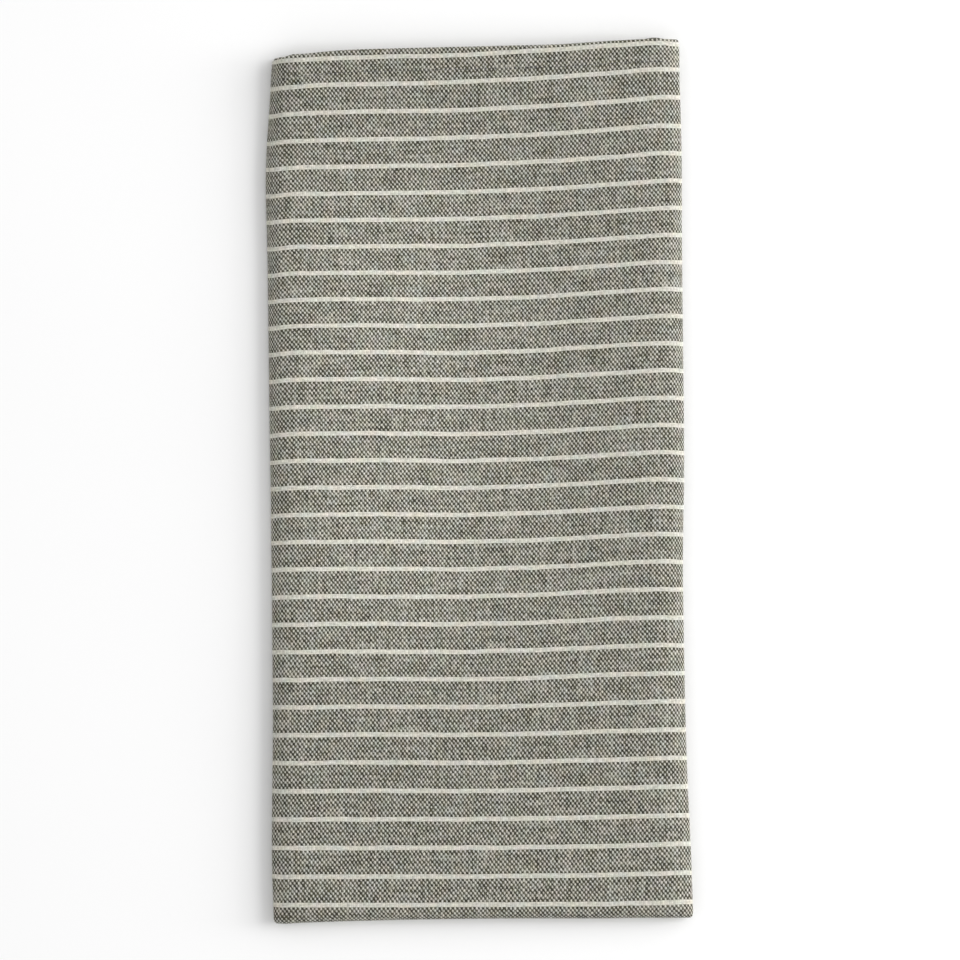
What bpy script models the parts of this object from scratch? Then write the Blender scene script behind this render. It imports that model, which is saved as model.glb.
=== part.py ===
"""A striped cotton tea towel, folded in thirds across its width and then once in half.

It is one hemmed sheet. The two flaps are tucked behind the middle panel, the right one first,
and the strip of three layers is folded over on itself, which makes six. The towel lies on the
lower half of its middle panel. Metres, +Z up, the half fold towards -Y, the hems towards +Y,
and the origin under the middle of the folded towel.
"""

import math
from collections import namedtuple

import bmesh
import bpy

# The cloth: a coarse plain weave, with a hem turned twice and sewn down at each end.
CLOTH_THICKNESS = 0.0010
HEM_THICKNESS = 0.0013
HEM_DEPTH = 0.0095
HEM_STEP = 0.0020
LAYER_GAP = 0.00035
CLOTH_COLOUR = (0.29, 0.28, 0.25, 1.0)
CLOTH_ROUGHNESS = 0.9

# The folds. A flap's free edge stops short of the side fold that it lies against, and the
# layers above settle into most of the room that it leaves.
FLAP_MARGIN = 0.0080
ROOM_TAKEN = 0.8
RIGHT_FOLD_LAYERS = 1.0
LEFT_FOLD_LAYERS = 2.0 - ROOM_TAKEN
HEM_RISE = 0.0300
FLAP_SETBACK = 0.0010
SETBACK_RUN = 0.0150

# Where the two side folds run on the upper half, from the half fold to the hems, and how far
# inside them the lower half's folds lie.
SideFolds = namedtuple("SideFolds", "along left right under")
SIDE_FOLDS = (
    SideFolds(-0.1770, -0.0836, 0.0865, 0.0003),
    SideFolds(-0.1540, -0.0843, 0.0857, 0.0006),
    SideFolds(-0.1295, -0.0843, 0.0845, 0.0011),
    SideFolds(-0.0970, -0.0841, 0.0834, 0.0009),
    SideFolds(-0.0325, -0.0846, 0.0829, 0.0005),
    SideFolds(0.0325, -0.0852, 0.0827, 0.0008),
    SideFolds(0.0970, -0.0860, 0.0820, 0.0013),
    SideFolds(0.1295, -0.0867, 0.0819, 0.0010),
    SideFolds(0.1620, -0.0849, 0.0810, 0.0005),
    SideFolds(0.1790, -0.0837, 0.0805, 0.0006),
)

# Where the towel ends at its half fold and at its hems, from the left side to the right. The
# lower hem shows past the upper one at the left corner and near the right one.
Ends = namedtuple("Ends", "across half_fold upper_hem lower_hem")
ENDS = (
    Ends(-0.0866, -0.1792, 0.1690, 0.1702),
    Ends(-0.0785, -0.1796, 0.1710, 0.1720),
    Ends(-0.0720, -0.1794, 0.1728, 0.1724),
    Ends(-0.0560, -0.1787, 0.1745, 0.1735),
    Ends(-0.0320, -0.1781, 0.1753, 0.1743),
    Ends(0.0000, -0.1776, 0.1761, 0.1751),
    Ends(0.0330, -0.1775, 0.1770, 0.1760),
    Ends(0.0490, -0.1775, 0.1781, 0.1771),
    Ends(0.0640, -0.1773, 0.1788, 0.1785),
    Ends(0.0710, -0.1772, 0.1789, 0.1797),
    Ends(0.0780, -0.1772, 0.1788, 0.1784),
    Ends(0.0866, -0.1771, 0.1785, 0.1775),
)
MIDDLE_ENDS = ENDS[5]

# The low waves of the upper face: where each one is, how far it reaches and how high it is.
Wave = namedtuple("Wave", "across along reach_across reach_along height")
WAVES = (
    Wave(-0.050, 0.030, 0.024, 0.120, 0.0006),
    Wave(0.022, 0.010, 0.020, 0.140, -0.0005),
    Wave(0.058, -0.020, 0.018, 0.130, 0.0005),
)

# How finely the cloth is divided: shares of a panel's width near its side folds, shares of the
# length near a hem, and the even divisions between them and round the folds.
EDGE_SHARES = (0.0, 0.012, 0.024, 0.036, 0.048)
PANEL_DIVISIONS = 5
SIDE_FOLD_DIVISIONS = 6
HALF_FOLD_DIVISIONS = 8
HEM_SHARES = (0.0, 0.013, 0.0265, 0.033, 0.07, 0.115)
LENGTH_DIVISIONS = 7


def smooth_step(share):
    """0 up to 0, 1 from 1 on, and a smooth rise between."""
    share = min(max(share, 0.0), 1.0)
    return share * share * (3.0 - 2.0 * share)


def blend(start, end, share):
    return start + (end - start) * share


def slope(rows, index, key, value):
    """The slope of a table's smooth curve at one of its rows."""
    before = rows[max(index - 1, 0)]
    after = rows[min(index + 1, len(rows) - 1)]
    rise = getattr(after, value) - getattr(before, value)
    return rise / (getattr(after, key) - getattr(before, key))


def read_curve(rows, key, value, place):
    """The smooth curve through a table's rows, held level past its two ends."""
    first = getattr(rows[0], key)
    last = getattr(rows[-1], key)
    place = min(max(place, first), last)
    index = 0
    while index < len(rows) - 2 and getattr(rows[index + 1], key) < place:
        index += 1
    start = getattr(rows[index], key)
    run = getattr(rows[index + 1], key) - start
    share = (place - start) / run
    swing = share * (1.0 - share) * run
    leave = slope(rows, index, key, value) * swing * (1.0 - share)
    arrive = slope(rows, index + 1, key, value) * swing * share
    level = blend(getattr(rows[index], value), getattr(rows[index + 1], value), smooth_step(share))
    return level + leave - arrive


# The cloth's path across the folded towel, from the right flap's free edge to the left one's.
# Each place on it names its stretch, and its share of that stretch or its turn in radians.
Across = namedtuple("Across", "stretch share")


def panel_shares():
    """Shares of a panel's width, closer together near its two side folds."""
    inner = EDGE_SHARES[-1]
    steps = range(1, PANEL_DIVISIONS)
    middle = [blend(inner, 1.0 - inner, step / PANEL_DIVISIONS) for step in steps]
    return [*EDGE_SHARES, *middle, *(1.0 - share for share in reversed(EDGE_SHARES))]


def side_fold_turns():
    """The turns inside a side fold, without its two ends, which belong to the panels."""
    steps = range(1, SIDE_FOLD_DIVISIONS)
    return [math.pi * (step / SIDE_FOLD_DIVISIONS - 0.5) for step in steps]


def path_across():
    path = [Across("right flap", share) for share in panel_shares()]
    path += [Across("right fold", turn) for turn in side_fold_turns()]
    path += [Across("middle", share) for share in panel_shares()]
    path += [Across("left fold", -turn) for turn in side_fold_turns()]
    path += [Across("left flap", share) for share in panel_shares()]
    return path


# The cloth's path along the folded towel, from the lower hem round the half fold to the upper
# hem. Each place names its stretch, and its share of the run to the hem or its turn.
Along = namedtuple("Along", "stretch share")


def length_shares():
    """Shares of the run from the half fold to a hem, closer together near the hem."""
    outer = 1.0 - HEM_SHARES[-1]
    plain = [outer * step / LENGTH_DIVISIONS for step in range(LENGTH_DIVISIONS)]
    return plain + [1.0 - share for share in reversed(HEM_SHARES)]


def path_along():
    path = [Along("lower", share) for share in reversed(length_shares())]
    for step in range(1, HALF_FOLD_DIVISIONS):
        path.append(Along("half fold", math.pi * (step / HALF_FOLD_DIVISIONS - 0.5)))
    path += [Along("upper", share) for share in length_shares()]
    return path


def layers_below(panel, from_left, from_right):
    """How many layers lie under this place of a panel, on its lower half and on its upper one."""
    left_room = ROOM_TAKEN * (1.0 - smooth_step(from_left / FLAP_MARGIN))
    right_room = ROOM_TAKEN * (1.0 - smooth_step(from_right / FLAP_MARGIN))
    if panel == "middle":
        return 0.0, 5.0 - 2.0 * left_room - 2.0 * right_room
    if panel == "right flap":
        return 1.0, 4.0 - 2.0 * right_room
    return 2.0 - left_room, 3.0 - left_room


# What the stack of layers is like at one distance from the hems.
Stack = namedtuple("Stack", "hem thickness pitch")


def stack_at(run_share):
    """The cloth is thicker at its hems, which also hold the layers near them further apart."""
    from_hem = (1.0 - run_share) * (MIDDLE_ENDS.upper_hem - MIDDLE_ENDS.half_fold)
    hem = 1.0 - smooth_step((from_hem - HEM_DEPTH) / HEM_STEP)
    rise = 1.0 - smooth_step((from_hem - HEM_DEPTH) / HEM_RISE)
    thickness = blend(CLOTH_THICKNESS, HEM_THICKNESS, hem)
    pitch = blend(CLOTH_THICKNESS, HEM_THICKNESS, rise) + LAYER_GAP
    return Stack(hem, thickness, pitch)


# The two side folds at one place along the towel: the centre and radius of each turn.
Turns = namedtuple("Turns", "left left_radius right right_radius")


def side_turns(run_share, upperness, pitch):
    """The side folds follow their table, and run a little further in on the lower half."""
    along = blend(MIDDLE_ENDS.half_fold, MIDDLE_ENDS.upper_hem, run_share)
    under = (1.0 - upperness) * read_curve(SIDE_FOLDS, "along", "under", along)
    left_radius = 0.5 * LEFT_FOLD_LAYERS * pitch
    right_radius = 0.5 * RIGHT_FOLD_LAYERS * pitch
    left = read_curve(SIDE_FOLDS, "along", "left", along) + under
    right = read_curve(SIDE_FOLDS, "along", "right", along) - under
    left_centre = left + 0.5 * CLOTH_THICKNESS + left_radius
    right_centre = right - 0.5 * CLOTH_THICKNESS - right_radius
    return Turns(left_centre, left_radius, right_centre, right_radius)


def lay_across(across, turns):
    """Where a place on the path across lies, and how far it has turned from panel to flap."""
    if across.stretch == "right flap":
        return blend(turns.left + FLAP_MARGIN, turns.right, across.share), 1.0
    if across.stretch == "middle":
        return blend(turns.right, turns.left, across.share), 0.0
    if across.stretch == "left flap":
        return blend(turns.left, turns.right - FLAP_MARGIN, across.share), 1.0
    turned = 0.5 - 0.5 * math.sin(across.share)
    if across.stretch == "right fold":
        return turns.right + turns.right_radius * math.cos(across.share), turned
    return turns.left - turns.left_radius * math.cos(across.share), turned


def wave_height(across, along):
    """The height of the low waves in the upper face."""
    height = 0.0
    for wave in WAVES:
        aside = (across - wave.across) / wave.reach_across
        ahead = (along - wave.along) / wave.reach_along
        height += wave.height * math.exp(-aside * aside - ahead * ahead)
    return height


def place_on_towel(across, along):
    """Where a point of the cloth's middle lies once it is folded, and its share of hem."""
    in_turn = along.stretch == "half fold"
    run_share = 0.0 if in_turn else along.share
    if in_turn:
        upperness = 0.5 + 0.5 * math.sin(along.share)
    else:
        upperness = 1.0 if along.stretch == "upper" else 0.0
    stack = stack_at(run_share)
    turns = side_turns(run_share, upperness, stack.pitch)
    x, turned = lay_across(across, turns)

    # A side fold joins the middle panel's layers to those of its flap.
    flap = "left flap" if across.stretch.startswith("left") else "right flap"
    from_left = x - turns.left
    from_right = turns.right - x
    middle_below, outermost = layers_below("middle", from_left, from_right)
    flap_below, flap_above = layers_below(flap, from_left, from_right)
    below = blend(middle_below, flap_below, turned)
    above = blend(outermost, flap_above, turned)

    # The half fold joins the lower half to the upper one, round one centre for all its layers.
    half_fold = read_curve(ENDS, "across", "half_fold", x)
    centre = half_fold + 0.5 * CLOTH_THICKNESS + 0.5 * outermost * stack.pitch
    z = 0.5 * stack.thickness + blend(below, above, upperness) * stack.pitch
    if in_turn:
        y = centre - 0.5 * (above - below) * stack.pitch * math.cos(along.share)
    else:
        hem_line = read_curve(ENDS, "across", along.stretch + "_hem", x)
        hem_line -= turned * FLAP_SETBACK * smooth_step(from_left / SETBACK_RUN)
        y = blend(centre, hem_line, run_share)
    z += wave_height(x, y) * upperness * blend(below, above, upperness) / 5.0
    return (x, y, z), stack.hem


def clear_scene():
    for old in list(bpy.data.objects):
        bpy.data.objects.remove(old, do_unlink=True)


def towel_cloth():
    material = bpy.data.materials.new("towel_cloth")
    material.use_nodes = True
    shader = material.node_tree.nodes["Principled BSDF"]
    shader.inputs["Base Color"].default_value = CLOTH_COLOUR
    shader.inputs["Roughness"].default_value = CLOTH_ROUGHNESS
    shader.inputs["Metallic"].default_value = 0.0
    return material


def folded_cloth():
    """The flat cloth as a grid, folded point by point. Its vertex weights mark the hems."""
    across_places = path_across()
    along_places = path_along()
    columns = len(across_places) - 1
    rows = len(along_places) - 1
    cloth = bmesh.new()
    bmesh.ops.create_grid(cloth, x_segments=columns, y_segments=rows, size=1.0)
    weights = cloth.verts.layers.deform.new()
    for vert in cloth.verts:
        column = round(0.5 * (vert.co.x + 1.0) * columns)
        row = round(0.5 * (vert.co.y + 1.0) * rows)
        vert.co, vert[weights][0] = place_on_towel(across_places[column], along_places[row])
    bmesh.ops.recalc_face_normals(cloth, faces=cloth.faces)
    mesh = bpy.data.meshes.new("towel")
    cloth.to_mesh(mesh)
    cloth.free()
    mesh.materials.append(towel_cloth())
    mesh.shade_smooth()
    return mesh


def make_towel(collection):
    """The folded sheet, with the thickness of the cloth and of its hems."""
    towel = bpy.data.objects.new("towel", folded_cloth())
    collection.objects.link(towel)
    hems = towel.vertex_groups.new(name="hems")
    thickness = towel.modifiers.new("cloth thickness", "SOLIDIFY")
    thickness.thickness = HEM_THICKNESS
    thickness.offset = 0.0
    thickness.use_even_offset = True
    thickness.vertex_group = hems.name
    thickness.thickness_vertex_group = CLOTH_THICKNESS / HEM_THICKNESS


clear_scene()
folded_towel = bpy.data.collections.new("tea towel")
bpy.context.scene.collection.children.link(folded_towel)
make_towel(folded_towel)
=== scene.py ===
"""A folded, striped cotton tea towel: its cloth and its sewing, on a pale floor in soft light.

Metres, +Z up, the half fold towards -Y, the hems towards +Y, and the origin under the middle of
the folded towel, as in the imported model.
"""

import math
from collections import namedtuple

import bmesh
import bpy
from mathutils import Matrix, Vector, noise


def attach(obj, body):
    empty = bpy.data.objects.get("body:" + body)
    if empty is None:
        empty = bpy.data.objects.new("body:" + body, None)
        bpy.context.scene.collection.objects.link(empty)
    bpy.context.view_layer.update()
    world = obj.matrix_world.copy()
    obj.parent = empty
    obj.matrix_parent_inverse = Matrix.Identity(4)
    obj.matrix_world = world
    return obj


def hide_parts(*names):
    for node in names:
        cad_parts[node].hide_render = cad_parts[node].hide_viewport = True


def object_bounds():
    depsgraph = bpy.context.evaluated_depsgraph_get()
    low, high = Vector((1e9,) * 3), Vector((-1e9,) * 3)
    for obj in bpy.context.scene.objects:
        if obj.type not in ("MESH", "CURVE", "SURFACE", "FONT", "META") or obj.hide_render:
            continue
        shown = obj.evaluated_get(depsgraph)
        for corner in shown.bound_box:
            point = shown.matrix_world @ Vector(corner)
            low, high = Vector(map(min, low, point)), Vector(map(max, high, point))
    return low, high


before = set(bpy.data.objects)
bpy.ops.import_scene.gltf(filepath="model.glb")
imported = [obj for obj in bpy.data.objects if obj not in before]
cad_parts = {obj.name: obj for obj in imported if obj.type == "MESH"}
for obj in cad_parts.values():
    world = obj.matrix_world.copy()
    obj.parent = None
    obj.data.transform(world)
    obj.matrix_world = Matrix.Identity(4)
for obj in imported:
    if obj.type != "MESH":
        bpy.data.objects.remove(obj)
cad_low, cad_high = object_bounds()


# ---- How the cloth is folded ---------------------------------------------------------------
# One hemmed cotton sheet. Its two flaps are tucked behind the middle panel, the right one
# first, and the strip of three layers is then folded over on itself, which makes six. It lies
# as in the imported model, with softer side folds, finer hems and light creases.

CLOTH_THICKNESS = 0.0010
HEM_THICKNESS = 0.0013
HEM_DEPTH = 0.0095
HEM_STEP = 0.0020
LAYER_GAP = 0.00035
OUTERMOST_LAYER = 5.0
FLAP_MARGIN = 0.0080
SETTLE_RUN = 0.0120
ROOM_TAKEN = 0.6
RIGHT_FOLD_LAYERS = 1.0
LEFT_FOLD_LAYERS = 2.0 - ROOM_TAKEN
HEM_RISE = 0.0300
FLAP_SETBACK = 0.0010
SETBACK_RUN = 0.0150

# Where the two side folds run on the upper half, from the half fold to the hems, and how far
# inside them the lower half's folds lie.
SideFolds = namedtuple("SideFolds", "along left right under")
SIDE_FOLDS = (
    SideFolds(-0.1770, -0.0835, 0.0865, 0.0003),
    SideFolds(-0.1540, -0.0842, 0.0857, 0.0006),
    SideFolds(-0.1295, -0.0841, 0.0845, 0.0011),
    SideFolds(-0.0970, -0.0838, 0.0834, 0.0009),
    SideFolds(-0.0550, -0.0841, 0.0826, 0.0008),
    SideFolds(-0.0325, -0.0843, 0.0824, 0.0005),
    SideFolds(0.0000, -0.0847, 0.0829, 0.0006),
    SideFolds(0.0325, -0.0852, 0.0827, 0.0008),
    SideFolds(0.0970, -0.0860, 0.0820, 0.0013),
    SideFolds(0.1295, -0.0867, 0.0819, 0.0010),
    SideFolds(0.1620, -0.0849, 0.0810, 0.0005),
    SideFolds(0.1790, -0.0837, 0.0805, 0.0006),
)

# Where the towel ends at its half fold and at its hems, from the left side to the right. The
# lower hem shows past the upper one at the left corner and near the right one.
Ends = namedtuple("Ends", "across half_fold upper_hem lower_hem")
ENDS = (
    Ends(-0.0866, -0.1792, 0.1690, 0.1697),
    Ends(-0.0820, -0.1795, 0.1706, 0.1714),
    Ends(-0.0785, -0.1796, 0.1718, 0.1719),
    Ends(-0.0755, -0.1794, 0.1727, 0.1722),
    Ends(-0.0720, -0.1792, 0.1728, 0.1725),
    Ends(-0.0560, -0.1786, 0.1743, 0.1735),
    Ends(-0.0320, -0.1780, 0.1751, 0.1743),
    Ends(0.0000, -0.1775, 0.1759, 0.1751),
    Ends(0.0330, -0.1774, 0.1768, 0.1760),
    Ends(0.0490, -0.1774, 0.1779, 0.1771),
    Ends(0.0640, -0.1772, 0.1787, 0.1785),
    Ends(0.0710, -0.1772, 0.1789, 0.1797),
    Ends(0.0780, -0.1772, 0.1788, 0.1784),
    Ends(0.0866, -0.1771, 0.1785, 0.1775),
)
MIDDLE_ENDS = ENDS[7]
HALF_LENGTH = MIDDLE_ENDS.upper_hem - MIDDLE_ENDS.half_fold

# How roundly the upper face rolls off into each side fold, from the half fold to the hems: the
# layers squeeze together there, and the fold takes in more warp ends than level cloth would.
Rolls = namedtuple("Rolls", "along left right")
ROLLS = (
    Rolls(-0.1770, 0.30, 0.40),
    Rolls(-0.0970, 0.35, 0.60),
    Rolls(0.0000, 0.60, 0.75),
    Rolls(0.0970, 0.95, 0.75),
    Rolls(0.1400, 1.00, 0.55),
    Rolls(0.1790, 1.00, 0.30),
)
ROLL_RUN = 0.0045
ROLL_SQUEEZE = 0.20
ROLL_ENDS = 2.6

# The creases of the upper face, as soft ridges and troughs that run mostly along the towel:
# where the middle of each one is, how far it reaches, how it slants and how high it stands.
Crease = namedtuple("Crease", "across along reach_across reach_along slant height")
CREASES = (
    Crease(-0.068, 0.020, 0.026, 0.110, 0.02, 0.00060),
    Crease(-0.014, -0.050, 0.014, 0.070, 0.10, -0.00035),
    Crease(0.028, 0.032, 0.014, 0.100, -0.08, -0.00040),
    Crease(0.066, -0.010, 0.011, 0.130, -0.02, 0.00028),
)

# The faint unevenness of a washed and pressed cloth, over and above its creases.
RIPPLE_HEIGHT = 0.00010
RIPPLE_LENGTH = 0.018
RIPPLE_STRETCH = 3.0

# The seam that holds the turned hem pinches the cloth in a line, and more at each needle hole.
SEAM_INSET = 0.00925
SEAM_WIDTH = 0.0008
SEAM_PINCH = 0.14
NEEDLE_PINCH = 0.40
NEEDLE_SHARPNESS = 6
NEEDLE_FALL = 0.7
STITCHES_PER_PANEL = 40


def smooth_step(share):
    """0 up to 0, 1 from 1 on, and a smooth rise between."""
    share = min(max(share, 0.0), 1.0)
    return share * share * (3.0 - 2.0 * share)


def blend(start, end, share):
    return start + (end - start) * share


def hump(distance):
    """1 at no distance, and a smooth fall to nothing past about twice the unit distance."""
    return math.exp(-distance * distance)


def slope(rows, index, key, value):
    """The slope of a table's smooth curve at one of its rows."""
    before = rows[max(index - 1, 0)]
    after = rows[min(index + 1, len(rows) - 1)]
    rise = getattr(after, value) - getattr(before, value)
    return rise / (getattr(after, key) - getattr(before, key))


def read_curve(rows, key, value, place):
    """The smooth curve through a table's rows, held level past its two ends."""
    first = getattr(rows[0], key)
    last = getattr(rows[-1], key)
    place = min(max(place, first), last)
    index = 0
    while index < len(rows) - 2 and getattr(rows[index + 1], key) < place:
        index += 1
    start = getattr(rows[index], key)
    run = getattr(rows[index + 1], key) - start
    share = (place - start) / run
    swing = share * (1.0 - share) * run
    leave = slope(rows, index, key, value) * swing * (1.0 - share)
    arrive = slope(rows, index + 1, key, value) * swing * share
    level = blend(getattr(rows[index], value), getattr(rows[index + 1], value), smooth_step(share))
    return level + leave - arrive


# How many layers lie under a place of a panel, on its lower half and on its upper one. The
# layers settle into the room that the flaps' free edges leave beside the side folds.
def layers_below(panel, from_left, from_right):
    left_room = ROOM_TAKEN * max(1.0 - from_left / SETTLE_RUN, 0.0) ** 2
    right_room = ROOM_TAKEN * max(1.0 - from_right / SETTLE_RUN, 0.0) ** 2
    if panel == "middle":
        return 0.0, OUTERMOST_LAYER - 2.0 * left_room - 2.0 * right_room
    if panel == "right flap":
        return 1.0, 4.0 - 2.0 * right_room
    return 2.0 - left_room, 3.0 - left_room


Stack = namedtuple("Stack", "from_hem thickness pitch")


def stack_at(run_share):
    """The cloth is thicker at its hems, which also hold the layers near them further apart."""
    from_hem = (1.0 - run_share) * HALF_LENGTH
    hem = 1.0 - smooth_step((from_hem - HEM_DEPTH) / HEM_STEP)
    rise = 1.0 - smooth_step((from_hem - HEM_DEPTH) / HEM_RISE)
    thickness = blend(CLOTH_THICKNESS, HEM_THICKNESS, hem)
    pitch = blend(CLOTH_THICKNESS, HEM_THICKNESS, rise) + LAYER_GAP
    return Stack(from_hem, thickness, pitch)


Turns = namedtuple("Turns", "left left_radius right right_radius")


def side_turns(run_share, upperness, pitch):
    """The centre and radius of both side folds at one place along the towel."""
    along = blend(MIDDLE_ENDS.half_fold, MIDDLE_ENDS.upper_hem, run_share)
    under = (1.0 - upperness) * read_curve(SIDE_FOLDS, "along", "under", along)
    left_radius = 0.5 * LEFT_FOLD_LAYERS * pitch
    right_radius = 0.5 * RIGHT_FOLD_LAYERS * pitch
    left = read_curve(SIDE_FOLDS, "along", "left", along) + under
    right = read_curve(SIDE_FOLDS, "along", "right", along) - under
    left_centre = left + 0.5 * CLOTH_THICKNESS + left_radius
    right_centre = right - 0.5 * CLOTH_THICKNESS - right_radius
    return Turns(left_centre, left_radius, right_centre, right_radius)


def lay_across(across, turns):
    """Where a place on the path across lies, and how far it has turned from panel to flap."""
    if across.stretch == "right flap":
        return blend(turns.left + FLAP_MARGIN, turns.right, across.share), 1.0
    if across.stretch == "middle":
        return blend(turns.right, turns.left, across.share), 0.0
    if across.stretch == "left flap":
        return blend(turns.left, turns.right - FLAP_MARGIN, across.share), 1.0
    turned = 0.5 - 0.5 * math.sin(across.share)
    if across.stretch == "right fold":
        return turns.right + turns.right_radius * math.cos(across.share), turned
    return turns.left - turns.left_radius * math.cos(across.share), turned


def roll_off(x, turns, along):
    """How far into the rolling off of the left and of the right side fold a place lies."""
    into_left = max(1.0 - (x - turns.left) / ROLL_RUN, 0.0)
    into_right = max(1.0 - (turns.right - x) / ROLL_RUN, 0.0)
    left = read_curve(ROLLS, "along", "left", along) * into_left * into_left
    right = read_curve(ROLLS, "along", "right", along) * into_right * into_right
    return left, right


def crease_height(across, along):
    """The height of the creases and ripples in the upper face."""
    height = 0.0
    for crease in CREASES:
        ahead = (along - crease.along) / crease.reach_along
        aside = (across - crease.across - crease.slant * (along - crease.along)) / crease.reach_across
        height += crease.height * hump(aside) * hump(ahead)
    ripple = noise.noise(Vector((across, along / RIPPLE_STRETCH, 0.0)) / RIPPLE_LENGTH)
    return height + RIPPLE_HEIGHT * ripple


def seam_pinch(across, from_hem):
    """The share of the hem's thickness that its sewing takes away."""
    off_seam = (from_hem - SEAM_INSET) / SEAM_WIDTH
    needle = math.cos(math.pi * STITCHES_PER_PANEL * across.share) ** NEEDLE_SHARPNESS
    if across.stretch.endswith("fold"):
        needle = 0.0
    return SEAM_PINCH * hump(off_seam) + NEEDLE_PINCH * needle * hump(NEEDLE_FALL * off_seam)


# ---- How the weave lies in the folded cloth ------------------------------------------------
# The warp runs along the towel, a little off the side folds, and the picks bow upwards towards
# the right-hand side. The stripes are counted down from the upper hem, and go on round the
# half fold and down the lower half.

END_PITCH = 0.00084
STRIPE_PITCH = 0.0111
ENDS_ACROSS = 198
GRAIN_LEFT = -0.0840
GRAIN_RIGHT = 0.0825

# How far the yarns beside the left and the right side fold drift sideways along the towel.
Grain = namedtuple("Grain", "along left right")
GRAIN = (
    Grain(-0.1773, -0.0081, -0.0020),
    Grain(-0.1441, -0.0061, -0.0017),
    Grain(-0.0995, -0.0038, -0.0015),
    Grain(-0.0554, -0.0019, -0.0011),
    Grain(0.0000, 0.0000, 0.0000),
    Grain(0.0560, 0.0014, 0.0013),
    Grain(0.1000, 0.0023, 0.0022),
    Grain(0.1224, 0.0026, 0.0024),
    Grain(0.1447, 0.0024, 0.0025),
    Grain(0.1742, 0.0017, 0.0026),
)

# Where the stripes lie along the towel, just left of its middle line.
Stripes = namedtuple("Stripes", "along stripe")
STRIPES = (
    Stripes(-0.1855, 32.2),
    Stripes(-0.1718, 31.0),
    Stripes(-0.1142, 26.0),
    Stripes(-0.0581, 21.0),
    Stripes(-0.0248, 18.0),
    Stripes(0.0189, 14.0),
    Stripes(0.0518, 11.0),
    Stripes(0.1060, 6.0),
    Stripes(0.1389, 3.0),
    Stripes(0.1614, 1.0),
    Stripes(0.1723, 0.0),
    Stripes(0.1854, -1.2),
)

# How far the stripes stand above their height at the middle, from the left side to the right,
# on eight lines from the hem down to the half fold.
BOW_LINES = (
    ("at_hem", 0.1723),
    ("near_hem", 0.161),
    ("high", 0.110),
    ("upper", 0.055),
    ("halfway", 0.000),
    ("lower", -0.055),
    ("low", -0.110),
    ("near_fold", -0.172),
)
Bow = namedtuple("Bow", "across at_hem near_hem high upper halfway lower low near_fold")
BOWS = (
    Bow(-0.0835, -0.00310, -0.00296, -0.00154, -0.00090, -0.00064, -0.00052, -0.00013, 0.00004),
    Bow(-0.0800, -0.00250, -0.00236, -0.00105, -0.00043, -0.00029, -0.00027, -0.00020, -0.00016),
    Bow(-0.0740, -0.00200, -0.00184, -0.00070, 0.00000, 0.00000, -0.00020, -0.00021, -0.00012),
    Bow(-0.0660, -0.00157, -0.00135, -0.00066, 0.00014, 0.00014, -0.00004, -0.00017, -0.00011),
    Bow(-0.0560, -0.00112, -0.00097, -0.00057, 0.00026, 0.00019, 0.00009, 0.00010, -0.00018),
    Bow(-0.0400, -0.00071, -0.00067, -0.00034, 0.00028, 0.00034, 0.00006, 0.00012, -0.00004),
    Bow(-0.0080, 0.00000, 0.00000, 0.00000, 0.00000, 0.00000, 0.00000, 0.00000, 0.00000),
    Bow(0.0080, 0.00094, 0.00082, 0.00061, 0.00043, 0.00041, 0.00035, 0.00005, 0.00014),
    Bow(0.0240, 0.00180, 0.00157, 0.00115, 0.00101, 0.00087, 0.00080, 0.00047, 0.00026),
    Bow(0.0400, 0.00297, 0.00269, 0.00203, 0.00202, 0.00159, 0.00151, 0.00095, 0.00028),
    Bow(0.0560, 0.00407, 0.00382, 0.00315, 0.00302, 0.00263, 0.00246, 0.00134, 0.00052),
    Bow(0.0660, 0.00464, 0.00474, 0.00391, 0.00358, 0.00326, 0.00270, 0.00161, 0.00077),
    Bow(0.0730, 0.00492, 0.00525, 0.00444, 0.00393, 0.00351, 0.00288, 0.00189, 0.00093),
    Bow(0.0785, 0.00440, 0.00518, 0.00457, 0.00397, 0.00347, 0.00275, 0.00204, 0.00110),
    Bow(0.0815, 0.00405, 0.00505, 0.00441, 0.00372, 0.00319, 0.00271, 0.00194, 0.00122),
)


def end_number(across, along):
    """The number of warp ends between the left side fold and a place on the middle panel."""
    left = GRAIN_LEFT + read_curve(GRAIN, "along", "left", along)
    right = GRAIN_RIGHT + read_curve(GRAIN, "along", "right", along)
    return ENDS_ACROSS * (across - left) / (right - left)


def stripe_bow(across, along):
    """How far the stripes stand up at a place, between the two nearest of the eight lines."""
    index = 0
    while index < len(BOW_LINES) - 2 and along < BOW_LINES[index + 1][1]:
        index += 1
    upper_line, upper = BOW_LINES[index]
    lower_line, lower = BOW_LINES[index + 1]
    share = min(max((along - lower) / (upper - lower), 0.0), 1.0)
    start = read_curve(BOWS, "across", lower_line, across)
    return blend(start, read_curve(BOWS, "across", upper_line, across), share)


def stripe_number(across, along):
    """How many stripes up from the upper hem's first one a place lies, so mostly below 0."""
    level = along - stripe_bow(across, along)
    level = along - stripe_bow(across, level)
    return -read_curve(STRIPES, "along", "stripe", level)


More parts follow.
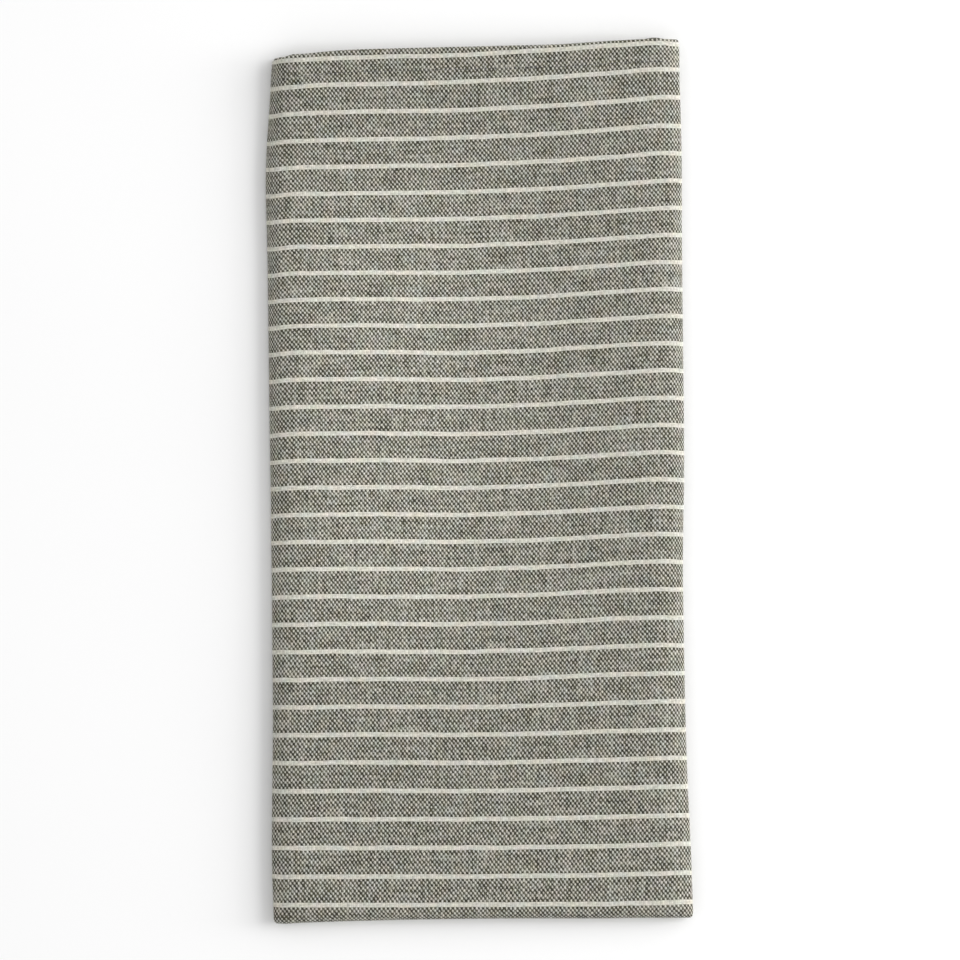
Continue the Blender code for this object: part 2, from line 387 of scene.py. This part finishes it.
def weave_at(across, x, y, turns, beyond_fold, centre):
    """The warp end and the stripe at a place. Past a fold, both count on along the cloth."""
    fold = x
    rolled = x
    beyond_side = 0.0
    if across.stretch.startswith("right"):
        fold = turns.right
        face_radius = turns.right_radius + 0.5 * CLOTH_THICKNESS
        turn = math.pi if across.stretch == "right flap" else 0.5 * math.pi - across.share
        beyond_side = turn * face_radius + max(turns.right - x, 0.0)
        if turn > 0.5 * math.pi:
            rolled = turns.right + turns.right_radius
    if across.stretch.startswith("left"):
        fold = turns.left
        face_radius = turns.left_radius + 0.5 * CLOTH_THICKNESS
        turn = math.pi if across.stretch == "left flap" else 0.5 * math.pi - across.share
        beyond_side = -turn * face_radius - max(x - turns.left, 0.0)
        if turn > 0.5 * math.pi:
            rolled = turns.left - turns.left_radius
    along = y if beyond_fold == 0.0 else centre
    left_roll, right_roll = roll_off(rolled, turns, along)
    taken_in = ROLL_ENDS * (right_roll - left_roll)
    end = end_number(fold, along) + taken_in + beyond_side / END_PITCH
    stripe = stripe_number(fold, along) - beyond_fold / STRIPE_PITCH
    return end, stripe


# ---- The cloth -----------------------------------------------------------------------------
# The towel is woven in plain weave from coarse single yarns: cream warp, charcoal weft, and
# three finer cream picks after every nine charcoal ones. It is cut, turned twice at both ends
# and sewn. Here it is one thin sheet, laid point by point along its folds.

THINNEST = 0.00003
FLAP_RUN = 0.158
EDGE_TURNS = (80.0, 60.0, 40.0, 20.0, 0.0)
MIDDLE_DIVISIONS = 160
FLAP_FOLD_INSETS = (0.0, 0.001, 0.002, 0.003, 0.004, 0.005, 0.006, 0.007, 0.008)
FLAP_DIVISIONS = 36
SIDE_FOLD_DIVISIONS = 12
HALF_FOLD_DIVISIONS = 18
HEM_INSETS = (
    0.0016, 0.0028, 0.0042, 0.0057, 0.0071, 0.0080, 0.0085, 0.0089, 0.0092, 0.0096, 0.0100,
    0.0105, 0.0112, 0.0122, 0.0140, 0.0170, 0.0210, 0.0260, 0.0320, 0.0395,
)
LENGTH_DIVISIONS = 38

# A place on the path across the cloth or along it: its stretch, its share of that stretch or
# its turn, how full the cloth is there, and the cloth that goes into rounding an edge there.
Place = namedtuple("Place", "stretch share fullness wrap")


def full_place(stretch, share):
    return Place(stretch, share, 1.0, 0.0)


def rounded_edge(stretch, thickness, share_of):
    """The places that round an edge of the cloth, from its tip inwards."""
    radius = 0.5 * thickness
    tip = math.sin(math.radians(EDGE_TURNS[0]))
    places = []
    for degrees in EDGE_TURNS:
        turn = math.radians(degrees)
        inset = radius * (tip - math.sin(turn))
        wrap = radius * (turn - math.sin(turn))
        places.append(Place(stretch, share_of(inset), math.cos(turn), wrap))
    return places


def flap_places(stretch):
    """The places across a flap, from its free edge to its side fold."""
    places = rounded_edge(stretch, CLOTH_THICKNESS, lambda inset: inset / FLAP_RUN)
    inner = 1.0 - FLAP_FOLD_INSETS[-1] / FLAP_RUN
    outer = places[-1].share
    for step in range(1, FLAP_DIVISIONS):
        places.append(full_place(stretch, blend(outer, inner, step / FLAP_DIVISIONS)))
    for inset in reversed(FLAP_FOLD_INSETS):
        places.append(full_place(stretch, 1.0 - inset / FLAP_RUN))
    return places


def side_fold_turns():
    """The turns inside a side fold, without its two ends, which belong to the panels."""
    steps = range(1, SIDE_FOLD_DIVISIONS)
    return [math.pi * (step / SIDE_FOLD_DIVISIONS - 0.5) for step in steps]


def path_across():
    """From the right flap's free edge, over the middle panel, to the left flap's free edge."""
    path = flap_places("right flap")
    path += [full_place("right fold", turn) for turn in side_fold_turns()]
    path += [full_place("middle", step / MIDDLE_DIVISIONS) for step in range(MIDDLE_DIVISIONS + 1)]
    path += [full_place("left fold", -turn) for turn in side_fold_turns()]
    for place in reversed(flap_places("left flap")):
        path.append(place._replace(share=1.0 - place.share))
    return path


def half_places(stretch):
    """The places along one half of the towel, from the half fold to the hem."""
    rounded = rounded_edge(stretch, HEM_THICKNESS, lambda inset: 1.0 - inset / HALF_LENGTH)
    last = 1.0 - HEM_INSETS[-1] / HALF_LENGTH
    places = [full_place(stretch, last * step / LENGTH_DIVISIONS) for step in range(LENGTH_DIVISIONS)]
    places += [full_place(stretch, 1.0 - inset / HALF_LENGTH) for inset in reversed(HEM_INSETS)]
    return places + rounded[::-1]


def path_along():
    """From the lower hem, round the half fold, to the upper hem."""
    path = half_places("lower")[::-1]
    for step in range(1, HALF_FOLD_DIVISIONS):
        path.append(full_place("half fold", math.pi * (step / HALF_FOLD_DIVISIONS - 0.5)))
    return path + half_places("upper")


# A point of the cloth once it is folded: the middle of its thickness, which way its face looks
# (1 up, -1 down), its thickness, and the warp end and stripe that cross there.
Point = namedtuple("Point", "position facing thickness weave")


def place_on_towel(across, along):
    in_turn = along.stretch == "half fold"
    run_share = 0.0 if in_turn else along.share
    if in_turn:
        upperness = 0.5 + 0.5 * math.sin(along.share)
    else:
        upperness = 1.0 if along.stretch == "upper" else 0.0
    stack = stack_at(run_share)
    turns = side_turns(run_share, upperness, stack.pitch)
    x, turned = lay_across(across, turns)

    # A side fold joins the middle panel's layers to those of its flap.
    flap = "left flap" if across.stretch.startswith("left") else "right flap"
    from_left = x - turns.left
    from_right = turns.right - x
    middle_below, outermost = layers_below("middle", from_left, from_right)
    flap_below, flap_above = layers_below(flap, from_left, from_right)
    below = blend(middle_below, flap_below, turned)
    above = blend(outermost, flap_above, turned)

    # The half fold joins the lower half to the upper one, round one centre for all its layers.
    half_fold = read_curve(ENDS, "across", "half_fold", x)
    centre = half_fold + 0.5 * CLOTH_THICKNESS + 0.5 * outermost * stack.pitch
    radius = 0.5 * (above - below) * stack.pitch
    face_radius = radius + 0.5 * CLOTH_THICKNESS * (1.0 - 2.0 * turned)
    level = blend(below, above, upperness)
    if in_turn:
        y = centre - radius * math.cos(along.share)
        beyond_fold = face_radius * (0.5 * math.pi - along.share)
    else:
        hem_line = read_curve(ENDS, "across", along.stretch + "_hem", x)
        hem_line -= turned * FLAP_SETBACK * smooth_step(from_left / SETBACK_RUN)
        y = blend(centre, hem_line, run_share)
        beyond_fold = 0.0 if along.stretch == "upper" else math.pi * face_radius + y - centre

    # The layers squeeze together at the side folds, and the creases show most in the top layer.
    pitch = stack.pitch * (1.0 - ROLL_SQUEEZE * sum(roll_off(x, turns, y)))
    crease = upperness * crease_height(x, y) / OUTERMOST_LAYER
    z = 0.5 * stack.thickness + level * (pitch + crease)

    end, stripe = weave_at(across, x, y, turns, beyond_fold, centre)
    if across.stretch == "right flap":
        end += across.wrap / END_PITCH
    if across.stretch == "left flap":
        end -= across.wrap / END_PITCH
    hemwards = 1.0 if along.stretch == "upper" else -1.0
    stripe += hemwards * along.wrap / STRIPE_PITCH
    thickness = stack.thickness * across.fullness * along.fullness
    thickness *= 1.0 - seam_pinch(across, stack.from_hem)
    facing = (1.0 - 2.0 * turned) * (2.0 * upperness - 1.0)
    return Point((x, y, z), facing, thickness, (end, stripe))


def folded_cloth():
    """The flat cloth as a grid, folded point by point. Its vertex weights hold its thickness."""
    across_places = path_across()
    along_places = path_along()
    columns = len(across_places) - 1
    rows = len(along_places) - 1
    cloth = bmesh.new()
    bmesh.ops.create_grid(cloth, x_segments=columns, y_segments=rows, size=1.0)
    weights = cloth.verts.layers.deform.new()
    weave = {}
    for vert in cloth.verts:
        column = round(0.5 * (vert.co.x + 1.0) * columns)
        row = round(0.5 * (vert.co.y + 1.0) * rows)
        point = place_on_towel(across_places[column], along_places[row])
        vert.co = point.position
        vert[weights][0] = (point.thickness - THINNEST) / (HEM_THICKNESS - THINNEST)
        weave[vert] = point.weave
    weave_map = cloth.loops.layers.uv.new("weave")
    for face in cloth.faces:
        for corner in face.loops:
            corner[weave_map].uv = weave[corner.vert]
    bmesh.ops.recalc_face_normals(cloth, faces=cloth.faces)
    mesh = bpy.data.meshes.new("tea_towel")
    cloth.to_mesh(mesh)
    cloth.free()
    mesh.shade_smooth()
    return mesh


# The colours of the yarns, how many picks of each colour make half of a stripe's repeat, how far
# the floats slant, and how the two yarns cross.
CREAM = (0.608, 0.595, 0.523, 1.0)
CHARCOAL = (0.0500, 0.0476, 0.0272, 1.0)
CREAM_HALF_WIDTH = 0.0800
CREAM_HALF_PICKS = 1.5
CHARCOAL_HALF_PICKS = 4.5
CREAM_EDGE = 0.06
FLOAT_SLANT = -0.17
WARP_BIAS = -0.08
CROSSING = 0.75

# How uneven the spinning and the loom leave the yarns.
WANDER_ENDS = 1.3
WANDER_STRIPES = 0.05
TREMBLE_ENDS = 0.5
TREMBLE_STRIPES = 0.022
FIBRE_BLUR = 1.4
LUMPS = 0.8
SLUBS = 0.9
TENSION = 0.35
MOTTLE = 0.60
CREAM_SPREAD = 0.16
CHARCOAL_SPREAD = 1.1
TINT = 0.19

# How fast each of these patterns runs, by the warp end and then by the stripe or the pick.
WANDER_RATES = (0.055, 0.9)
TREMBLE_RATES = (0.30, 3.0)
WARP_FIBRE_RATES = (4.0, 1.4)
WEFT_FIBRE_RATES = (1.4, 4.0)
LUMP_RATES = (0.45, 0.45)
WARP_SLUB_RATES = (0.9, 0.07)
WEFT_SLUB_RATES = (0.05, 0.9)
TENSION_RATES = (0.10, 0.10)
MOTTLE_RATES = (0.40, 0.70)
TINT_RATES = (0.14, 0.14)

# The shades of the yarns, with the painted shade of the warp among charcoal picks and of the
# hollows between the floats, and how high the floats stand.
WARP_SHADE_IN_CHARCOAL = 0.96
STRIPE_BARS = 0.10
FLOAT_ROUNDNESS = 0.6
GAP_SHADE = 0.76
STRIPE_GAP_SHADE = 0.88
END_GAP_REACH = 0.6
END_GAP_SHADE = 0.42
FUZZ_SHARE = 0.3
FLOAT_HEIGHT = 0.00015


class Shader:
    """Short ways to add nodes to one new material."""

    def __init__(self, name):
        self.material = bpy.data.materials.new(name)
        self.material.use_nodes = True
        self.tree = self.material.node_tree
        self.surface = self.tree.nodes["Principled BSDF"].inputs

    def node(self, kind, **settings):
        node = self.tree.nodes.new(kind)
        for name, value in settings.items():
            setattr(node, name, value)
        return node

    def feed(self, socket, value):
        if isinstance(value, bpy.types.NodeSocket):
            self.tree.links.new(value, socket)
        else:
            socket.default_value = value

    def math(self, operation, *values):
        node = self.node("ShaderNodeMath", operation=operation)
        for socket, value in zip(node.inputs, values):
            self.feed(socket, value)
        return node.outputs["Value"]

    def total(self, *values):
        sum_so_far = values[0]
        for value in values[1:]:
            sum_so_far = self.math("ADD", sum_so_far, value)
        return sum_so_far

    def ramp(self, value, start, end, low=0.0, high=1.0, smooth=False):
        node = self.node("ShaderNodeMapRange", clamp=True)
        node.interpolation_type = "SMOOTHSTEP" if smooth else "LINEAR"
        for socket, item in zip(node.inputs, (value, start, end, low, high)):
            self.feed(socket, item)
        return node.outputs["Result"]

    def mix(self, share, first, second, way="MIX"):
        node = self.node("ShaderNodeMix", data_type="RGBA", blend_type=way)
        self.feed(node.inputs["Factor"], share)
        colours = [socket for socket in node.inputs if socket.type == "RGBA"]
        for socket, colour in zip(colours, (first, second)):
            self.feed(socket, colour)
        return next(socket for socket in node.outputs if socket.type == "RGBA")

    def shade(self, colour, red, green=None, blue=None):
        """The colour, made lighter or darker by a level, or by one for each channel."""
        node = self.node("ShaderNodeCombineXYZ")
        for socket, value in zip(node.inputs, (red, green or red, blue or red)):
            self.feed(socket, value)
        return self.mix(1.0, colour, node.outputs["Vector"], "MULTIPLY")

    def place(self, x, y, x_scale, y_scale):
        """A place in a pattern, from two numbers and how fast the pattern runs along each."""
        node = self.node("ShaderNodeCombineXYZ")
        self.feed(node.inputs["X"], self.math("MULTIPLY", x, x_scale))
        self.feed(node.inputs["Y"], self.math("MULTIPLY", y, y_scale))
        return node.outputs["Vector"]

    def noise(self, place, detail=2.0):
        node = self.node("ShaderNodeTexNoise", noise_dimensions="2D")
        self.feed(node.inputs["Vector"], place)
        node.inputs["Scale"].default_value = 1.0
        node.inputs["Detail"].default_value = detail
        return node

    def swing(self, place, reach, detail=2.0):
        """Smooth noise about 0, from about minus to plus half the reach."""
        fac = self.noise(place, detail).outputs["Fac"]
        return self.math("MULTIPLY", self.math("SUBTRACT", fac, 0.5), reach)

    def swings(self, place, reach_first, reach_second):
        """Two unrelated swings at the same place."""
        split = self.node("ShaderNodeSeparateColor")
        self.feed(split.inputs["Color"], self.noise(place).outputs["Color"])
        first = self.math("MULTIPLY", self.math("SUBTRACT", split.outputs["Red"], 0.5), reach_first)
        second = self.math("MULTIPLY", self.math("SUBTRACT", split.outputs["Green"], 0.5), reach_second)
        return first, second


def plain_weave():
    weave = Shader("cotton_plain_weave")
    uv_map = weave.node("ShaderNodeUVMap", uv_map="weave")
    split = weave.node("ShaderNodeSeparateXYZ")
    weave.feed(split.inputs["Vector"], uv_map.outputs["UV"])
    end = split.outputs["X"]
    stripe = split.outputs["Y"]

    # The yarns wander over long stretches and tremble over short ones, ends sideways and picks
    # up and down.
    long_place = weave.place(end, stripe, *WANDER_RATES)
    end_wander, stripe_wander = weave.swings(long_place, WANDER_ENDS, WANDER_STRIPES)
    short_place = weave.place(end, stripe, *TREMBLE_RATES)
    end_tremble, stripe_tremble = weave.swings(short_place, TREMBLE_ENDS, TREMBLE_STRIPES)
    end = weave.total(end, end_wander, end_tremble)
    stripe = weave.total(stripe, stripe_wander, stripe_tremble)

    # Picks counted from the middle of the nearest stripe: three fine cream ones, nine charcoal.
    off_stripe = weave.math("WRAP", stripe, 0.5, -0.5)
    distance = weave.math("ABSOLUTE", off_stripe)
    fine = weave.ramp(distance, 0.0, CREAM_HALF_WIDTH, 0.0, CREAM_HALF_PICKS)
    coarse = weave.ramp(distance, CREAM_HALF_WIDTH, 0.5, 0.0, CHARCOAL_HALF_PICKS)
    picks = weave.math("ADD", fine, coarse)
    pick = weave.math("MULTIPLY", picks, weave.math("SIGN", off_stripe))
    picks_per_repeat = 2.0 * (CREAM_HALF_PICKS + CHARCOAL_HALF_PICKS)
    pick_count = weave.math("MULTIPLY_ADD", weave.math("ROUND", stripe), picks_per_repeat, pick)
    cream_pick = weave.ramp(picks, CREAM_HALF_PICKS - CREAM_EDGE, CREAM_HALF_PICKS + CREAM_EDGE, 1.0, 0.0)

    # Which yarn is on top: a checkerboard whose floats lean to the left as they rise.
    end_turn = weave.math("MULTIPLY", end, math.pi)
    pick_turn = weave.math("MULTIPLY", pick, math.pi)
    end_wave = weave.math("COSINE", end_turn)
    squares = weave.math("MULTIPLY", end_wave, weave.math("COSINE", pick_turn))
    corners = weave.math("MULTIPLY", weave.math("SINE", end_turn), weave.math("SINE", pick_turn))
    checks = weave.math("MULTIPLY_ADD", corners, FLOAT_SLANT, squares)

    # Loose fibres blur the floats along their own yarn, both yarns are thick here and thin
    # there, and the cloth is slack in some patches and tight in others.
    warp_fibres = weave.swing(weave.place(end, pick_count, *WARP_FIBRE_RATES), FIBRE_BLUR)
    weft_fibres = weave.swing(weave.place(end, pick_count, *WEFT_FIBRE_RATES), FIBRE_BLUR)
    lumps = weave.swing(weave.place(end, pick_count, *LUMP_RATES), LUMPS, detail=1.0)
    warp_slubs = weave.swing(weave.place(end, pick_count, *WARP_SLUB_RATES), SLUBS, detail=1.0)
    weft_slubs = weave.swing(weave.place(end, pick_count, *WEFT_SLUB_RATES), SLUBS, detail=1.0)
    tension = weave.swing(weave.place(end, pick_count, *TENSION_RATES), TENSION)
    mottle = weave.swing(weave.place(end, pick_count, *MOTTLE_RATES), MOTTLE, detail=1.0)
    fibres = weave.math("SUBTRACT", warp_fibres, weft_fibres)
    slubs = weave.math("SUBTRACT", warp_slubs, weft_slubs)
    top = weave.total(checks, fibres, lumps, slubs, tension, WARP_BIAS)
    warp_up = weave.ramp(top, -CROSSING, CROSSING, smooth=True)

    # The colours of the yarns, each float a little lighter or darker than the next. Across a
    # cream stripe, every second warp end shows as a faint darker bar.
    floats = weave.node("ShaderNodeTexWhiteNoise", noise_dimensions="2D")
    float_place = weave.place(weave.math("ROUND", end), weave.math("ROUND", pick_count), 1.0, 1.0)
    weave.feed(floats.inputs["Vector"], float_place)
    chance = weave.math("SUBTRACT", floats.outputs["Value"], 0.5)
    bars = weave.math("MULTIPLY", weave.math("MULTIPLY", end_wave, cream_pick), -STRIPE_BARS)
    cream_level = weave.total(1.0, weave.math("MULTIPLY", chance, CREAM_SPREAD), mottle, bars)
    charcoal_level = weave.math("MULTIPLY_ADD", chance, CHARCOAL_SPREAD, 1.0)
    # Cream warp among charcoal picks is a little darker: painted shade from the hollows it dips into.
    warp_shade = weave.ramp(cream_pick, 0.0, 1.0, WARP_SHADE_IN_CHARCOAL, 1.0)
    weft = weave.mix(cream_pick, weave.shade(CHARCOAL, charcoal_level), weave.shade(CREAM, cream_level))
    warp = weave.shade(CREAM, weave.math("MULTIPLY", cream_level, warp_shade))
    colour = weave.mix(warp_up, weft, warp)

    # The hollows between the floats are in shade, and deepest between the warp ends, but shallow
    # in the cream stripes. The dye and the cotton vary in patches.
    relief = weave.math("POWER", weave.math("ABSOLUTE", checks), FLOAT_ROUNDNESS)
    float_shade = weave.ramp(cream_pick, 0.0, 1.0, GAP_SHADE, STRIPE_GAP_SHADE)
    float_gap = weave.ramp(relief, 0.0, 1.0, float_shade, 1.0)
    end_shade = weave.ramp(weave.math("ABSOLUTE", end_wave), 0.0, END_GAP_REACH, END_GAP_SHADE, 1.0)
    end_gap = weave.ramp(cream_pick, 0.0, 1.0, end_shade, 1.0)
    gap = weave.math("MULTIPLY", float_gap, end_gap)
    warm, cool = weave.swings(weave.place(end, pick_count, *TINT_RATES), TINT, TINT)
    red = weave.math("MULTIPLY", gap, weave.math("ADD", warm, 1.0))
    blue = weave.math("MULTIPLY", gap, weave.math("ADD", cool, 1.0))
    weave.feed(weave.surface["Base Color"], weave.shade(colour, red, gap, blue))

    # The floats stand up as low round beads, with the fibres' fuzz on them.
    bump = weave.node("ShaderNodeBump")
    bump.inputs["Strength"].default_value = 0.5
    bump.inputs["Distance"].default_value = FLOAT_HEIGHT
    weave.feed(bump.inputs["Height"], weave.math("MULTIPLY_ADD", fibres, FUZZ_SHARE, relief))
    weave.feed(weave.surface["Normal"], bump.outputs["Normal"])
    weave.surface["Roughness"].default_value = 0.92
    weave.surface["Specular IOR Level"].default_value = 0.2
    weave.surface["Sheen Weight"].default_value = 0.12
    weave.surface["Sheen Roughness"].default_value = 0.5
    return weave.material


def make_towel():
    """The folded sheet, with the thickness of the cloth, its hems and its rounded edges."""
    towel = bpy.data.objects.new("tea_towel", folded_cloth())
    bpy.context.scene.collection.objects.link(towel)
    towel.data.materials.append(plain_weave())
    fullness = towel.vertex_groups.new(name="fullness")
    thickness = towel.modifiers.new("cloth thickness", "SOLIDIFY")
    thickness.thickness = HEM_THICKNESS
    thickness.offset = 0.0
    thickness.use_even_offset = True
    thickness.vertex_group = fullness.name
    thickness.thickness_vertex_group = THINNEST / HEM_THICKNESS
    return towel


towel = make_towel()
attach(towel, "root")
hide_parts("towel")


# ---- The hem stitching ---------------------------------------------------------------------
# A row of lockstitch in thin dark cotton thread holds each turned hem down, 9 mm in from the
# edge. Every stitch is a slim bead of thread between two needle holes, pulled into the cloth.
# At each hole a short dark slit of the same thread lies across the seam: painted shade, put
# where the needle hole's shadow falls.

THREAD_RADIUS = 0.00014
THREAD_SINK = 0.00006
STITCH_SHARE = 0.80
SHADE_SLIT_REACH = 0.0011
SHADE_SLIT_WIDTH = 0.00026
PANEL_WIDTH = 0.165
TWIST_PITCH = 0.0004
TWIST_SLANT = 1.5
TWIST_PAINTED_SHADES = (0.7, 1.15)
TWIST_HEIGHT = 0.00004
THREAD_COLOUR = (0.092, 0.088, 0.098, 1.0)
STITCH_SIDES = 8
STITCH_RINGS = 6


def lay_bead(stitches, stretch, half, middle, along_seam, across_seam):
    """A slim bead of thread, its two ends bent down, that reaches so far along and across."""
    bead = bmesh.ops.create_uvsphere(stitches, u_segments=STITCH_SIDES, v_segments=STITCH_RINGS, radius=1.0)
    runs_along = along_seam * PANEL_WIDTH > across_seam
    for vert in bead["verts"]:
        across = full_place(stretch, middle + along_seam * vert.co.z)
        inset = SEAM_INSET + across_seam * vert.co.y
        point = place_on_towel(across, full_place(half, 1.0 - inset / HALF_LENGTH))
        from_middle = vert.co.z if runs_along else vert.co.y
        lift = THREAD_RADIUS * (vert.co.x - from_middle * from_middle) - THREAD_SINK
        position = Vector(point.position)
        position.z += point.facing * (0.5 * point.thickness + lift)
        vert.co = position


def lay_stitch(stitches, stretch, half, number):
    """The thread between two needle holes, and the dark slit of painted shade at the first of them."""
    middle = (number + 0.5) / STITCHES_PER_PANEL
    lay_bead(stitches, stretch, half, middle, 0.5 * STITCH_SHARE / STITCHES_PER_PANEL, THREAD_RADIUS)
    if number > 0:
        # The slit at a needle hole is painted shade, a dark bead where the hole's shadow falls.
        hole = number / STITCHES_PER_PANEL
        lay_bead(stitches, stretch, half, hole, SHADE_SLIT_WIDTH / PANEL_WIDTH, SHADE_SLIT_REACH)


def thread_cotton():
    """Dull spun thread with the slanting ribs of its twist, in bump and in painted shade."""
    thread = Shader("sewing_cotton")
    split = thread.node("ShaderNodeSeparateXYZ")
    thread.feed(split.inputs["Vector"], thread.node("ShaderNodeTexCoord").outputs["Object"])
    slanted = thread.math("MULTIPLY_ADD", split.outputs["Y"], TWIST_SLANT, split.outputs["X"])
    rib = thread.math("SINE", thread.math("MULTIPLY", slanted, 2.0 * math.pi / TWIST_PITCH))
    # The ribs' painted shade: darker in the grooves, lighter on the crests.
    level = thread.ramp(rib, -1.0, 1.0, *TWIST_PAINTED_SHADES)
    thread.feed(thread.surface["Base Color"], thread.shade(THREAD_COLOUR, level))
    bump = thread.node("ShaderNodeBump")
    bump.inputs["Strength"].default_value = 0.5
    bump.inputs["Distance"].default_value = TWIST_HEIGHT
    thread.feed(bump.inputs["Height"], rib)
    thread.feed(thread.surface["Normal"], bump.outputs["Normal"])
    thread.surface["Roughness"].default_value = 0.8
    thread.surface["Specular IOR Level"].default_value = 0.3
    return thread.material


def make_stitching():
    mesh = bpy.data.meshes.new("hem_stitching")
    stitches = bmesh.new()
    for half in ("lower", "upper"):
        for stretch in ("right flap", "middle", "left flap"):
            row = bmesh.new()
            for number in range(STITCHES_PER_PANEL):
                lay_stitch(row, stretch, half, number)
            row.to_mesh(mesh)
            row.free()
            stitches.from_mesh(mesh)
    bmesh.ops.recalc_face_normals(stitches, faces=stitches.faces)
    stitches.to_mesh(mesh)
    stitches.free()
    mesh.shade_smooth()
    mesh.materials.append(thread_cotton())
    stitching = bpy.data.objects.new("hem_stitching", mesh)
    bpy.context.scene.collection.objects.link(stitching)
    return stitching


stitching = make_stitching()
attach(stitching, "root")


# ---- The floor -----------------------------------------------------------------------------
# A plain, matt surface under the towel, painted near-white and very faintly clouded. It reaches
# far past the picture on all sides.

FLOOR_HALF_SIZE = 30.0
FLOOR_DROP = 0.0001
FLOOR_COLOUR = (0.94, 0.94, 0.94, 1.0)
CLOUD_RATES = (6.0, 6.0)
CLOUD_REACH = 0.02


def make_floor():
    plane = bmesh.new()
    bmesh.ops.create_grid(plane, x_segments=1, y_segments=1, size=FLOOR_HALF_SIZE)
    mesh = bpy.data.meshes.new("floor")
    plane.to_mesh(mesh)
    plane.free()
    paint = Shader("white_floor")
    split = paint.node("ShaderNodeSeparateXYZ")
    paint.feed(split.inputs["Vector"], paint.node("ShaderNodeTexCoord").outputs["Object"])
    cloud_place = paint.place(split.outputs["X"], split.outputs["Y"], *CLOUD_RATES)
    level = paint.math("ADD", paint.swing(cloud_place, CLOUD_REACH), 1.0)
    paint.feed(paint.surface["Base Color"], paint.shade(FLOOR_COLOUR, level))
    paint.surface["Roughness"].default_value = 0.9
    paint.surface["Specular IOR Level"].default_value = 0.1
    mesh.materials.append(paint.material)
    floor = bpy.data.objects.new("floor", mesh)
    floor.location.z = cad_low.z - FLOOR_DROP
    bpy.context.scene.collection.objects.link(floor)
    return floor


make_floor()


# ---- The light -----------------------------------------------------------------------------
# Three window-like softboxes far off on the right, high, low and towards the back, a narrow
# strip light with a honeycomb grid close above the towel, and an even glow from all sides. The
# shadow falls softly to the left.

Softbox = namedtuple("Softbox", "name place target width length spread power")
SOFTBOXES = (
    Softbox("high_softbox", (2.40, 0.20, 1.80), (0.0, 0.0, 0.0), 1.60, 1.60, 180.0, 31.0),
    Softbox("low_softbox", (2.40, 0.20, 0.60), (0.0, 0.0, 0.0), 0.80, 0.80, 180.0, 26.0),
    Softbox("back_softbox", (2.00, 1.20, 1.00), (0.0, 0.0, 0.0), 1.60, 1.60, 180.0, 20.0),
    Softbox("strip_light", (-0.035, 0.030, 0.25), (-0.035, 0.030, 0.0), 0.05, 0.20, 30.0, 0.0100),
)
GLOW = (1.0, 1.0, 1.0, 1.0)
GLOW_STRENGTH = 0.695


def make_softbox(softbox):
    light = bpy.data.lights.new(softbox.name, "AREA")
    light.shape = "RECTANGLE"
    light.size = softbox.width
    light.size_y = softbox.length
    light.spread = math.radians(softbox.spread)
    light.energy = softbox.power
    lamp = bpy.data.objects.new(softbox.name, light)
    lamp.location = softbox.place
    aim = Vector(softbox.target) - Vector(softbox.place)
    lamp.rotation_mode = "QUATERNION"
    lamp.rotation_quaternion = aim.to_track_quat("-Z", "Y")
    lamp.visible_camera = False
    bpy.context.scene.collection.objects.link(lamp)


def make_glow():
    world = bpy.data.worlds.new("studio")
    world.use_nodes = True
    background = world.node_tree.nodes["Background"]
    background.inputs["Color"].default_value = GLOW
    background.inputs["Strength"].default_value = GLOW_STRENGTH
    bpy.context.scene.world = world


for softbox in SOFTBOXES:
    make_softbox(softbox)
make_glow()
bpy.context.scene.view_settings.view_transform = "Standard"


# ---- The camera ----------------------------------------------------------------------------
# Straight above the middle of the towel, and far enough away that its sides don't show. The
# lens is set by how wide the picture is at the towel's upper face.

PICTURE_WIDTH = 0.3888
PICTURE_CENTRE = (0.00016, 0.00028)
CAMERA_HEIGHT = 5.0
FRAMED_HEIGHT = 0.0075
SENSOR_WIDTH = 36.0


def make_camera():
    camera_data = bpy.data.cameras.new("camera")
    camera_data.sensor_width = SENSOR_WIDTH
    camera_data.lens = SENSOR_WIDTH * (CAMERA_HEIGHT - FRAMED_HEIGHT) / PICTURE_WIDTH
    camera_data.clip_start = 0.01
    camera_data.clip_end = 50.0
    camera = bpy.data.objects.new("camera", camera_data)
    camera.location = (*PICTURE_CENTRE, CAMERA_HEIGHT)
    bpy.context.scene.collection.objects.link(camera)
    bpy.context.scene.camera = camera


make_camera()
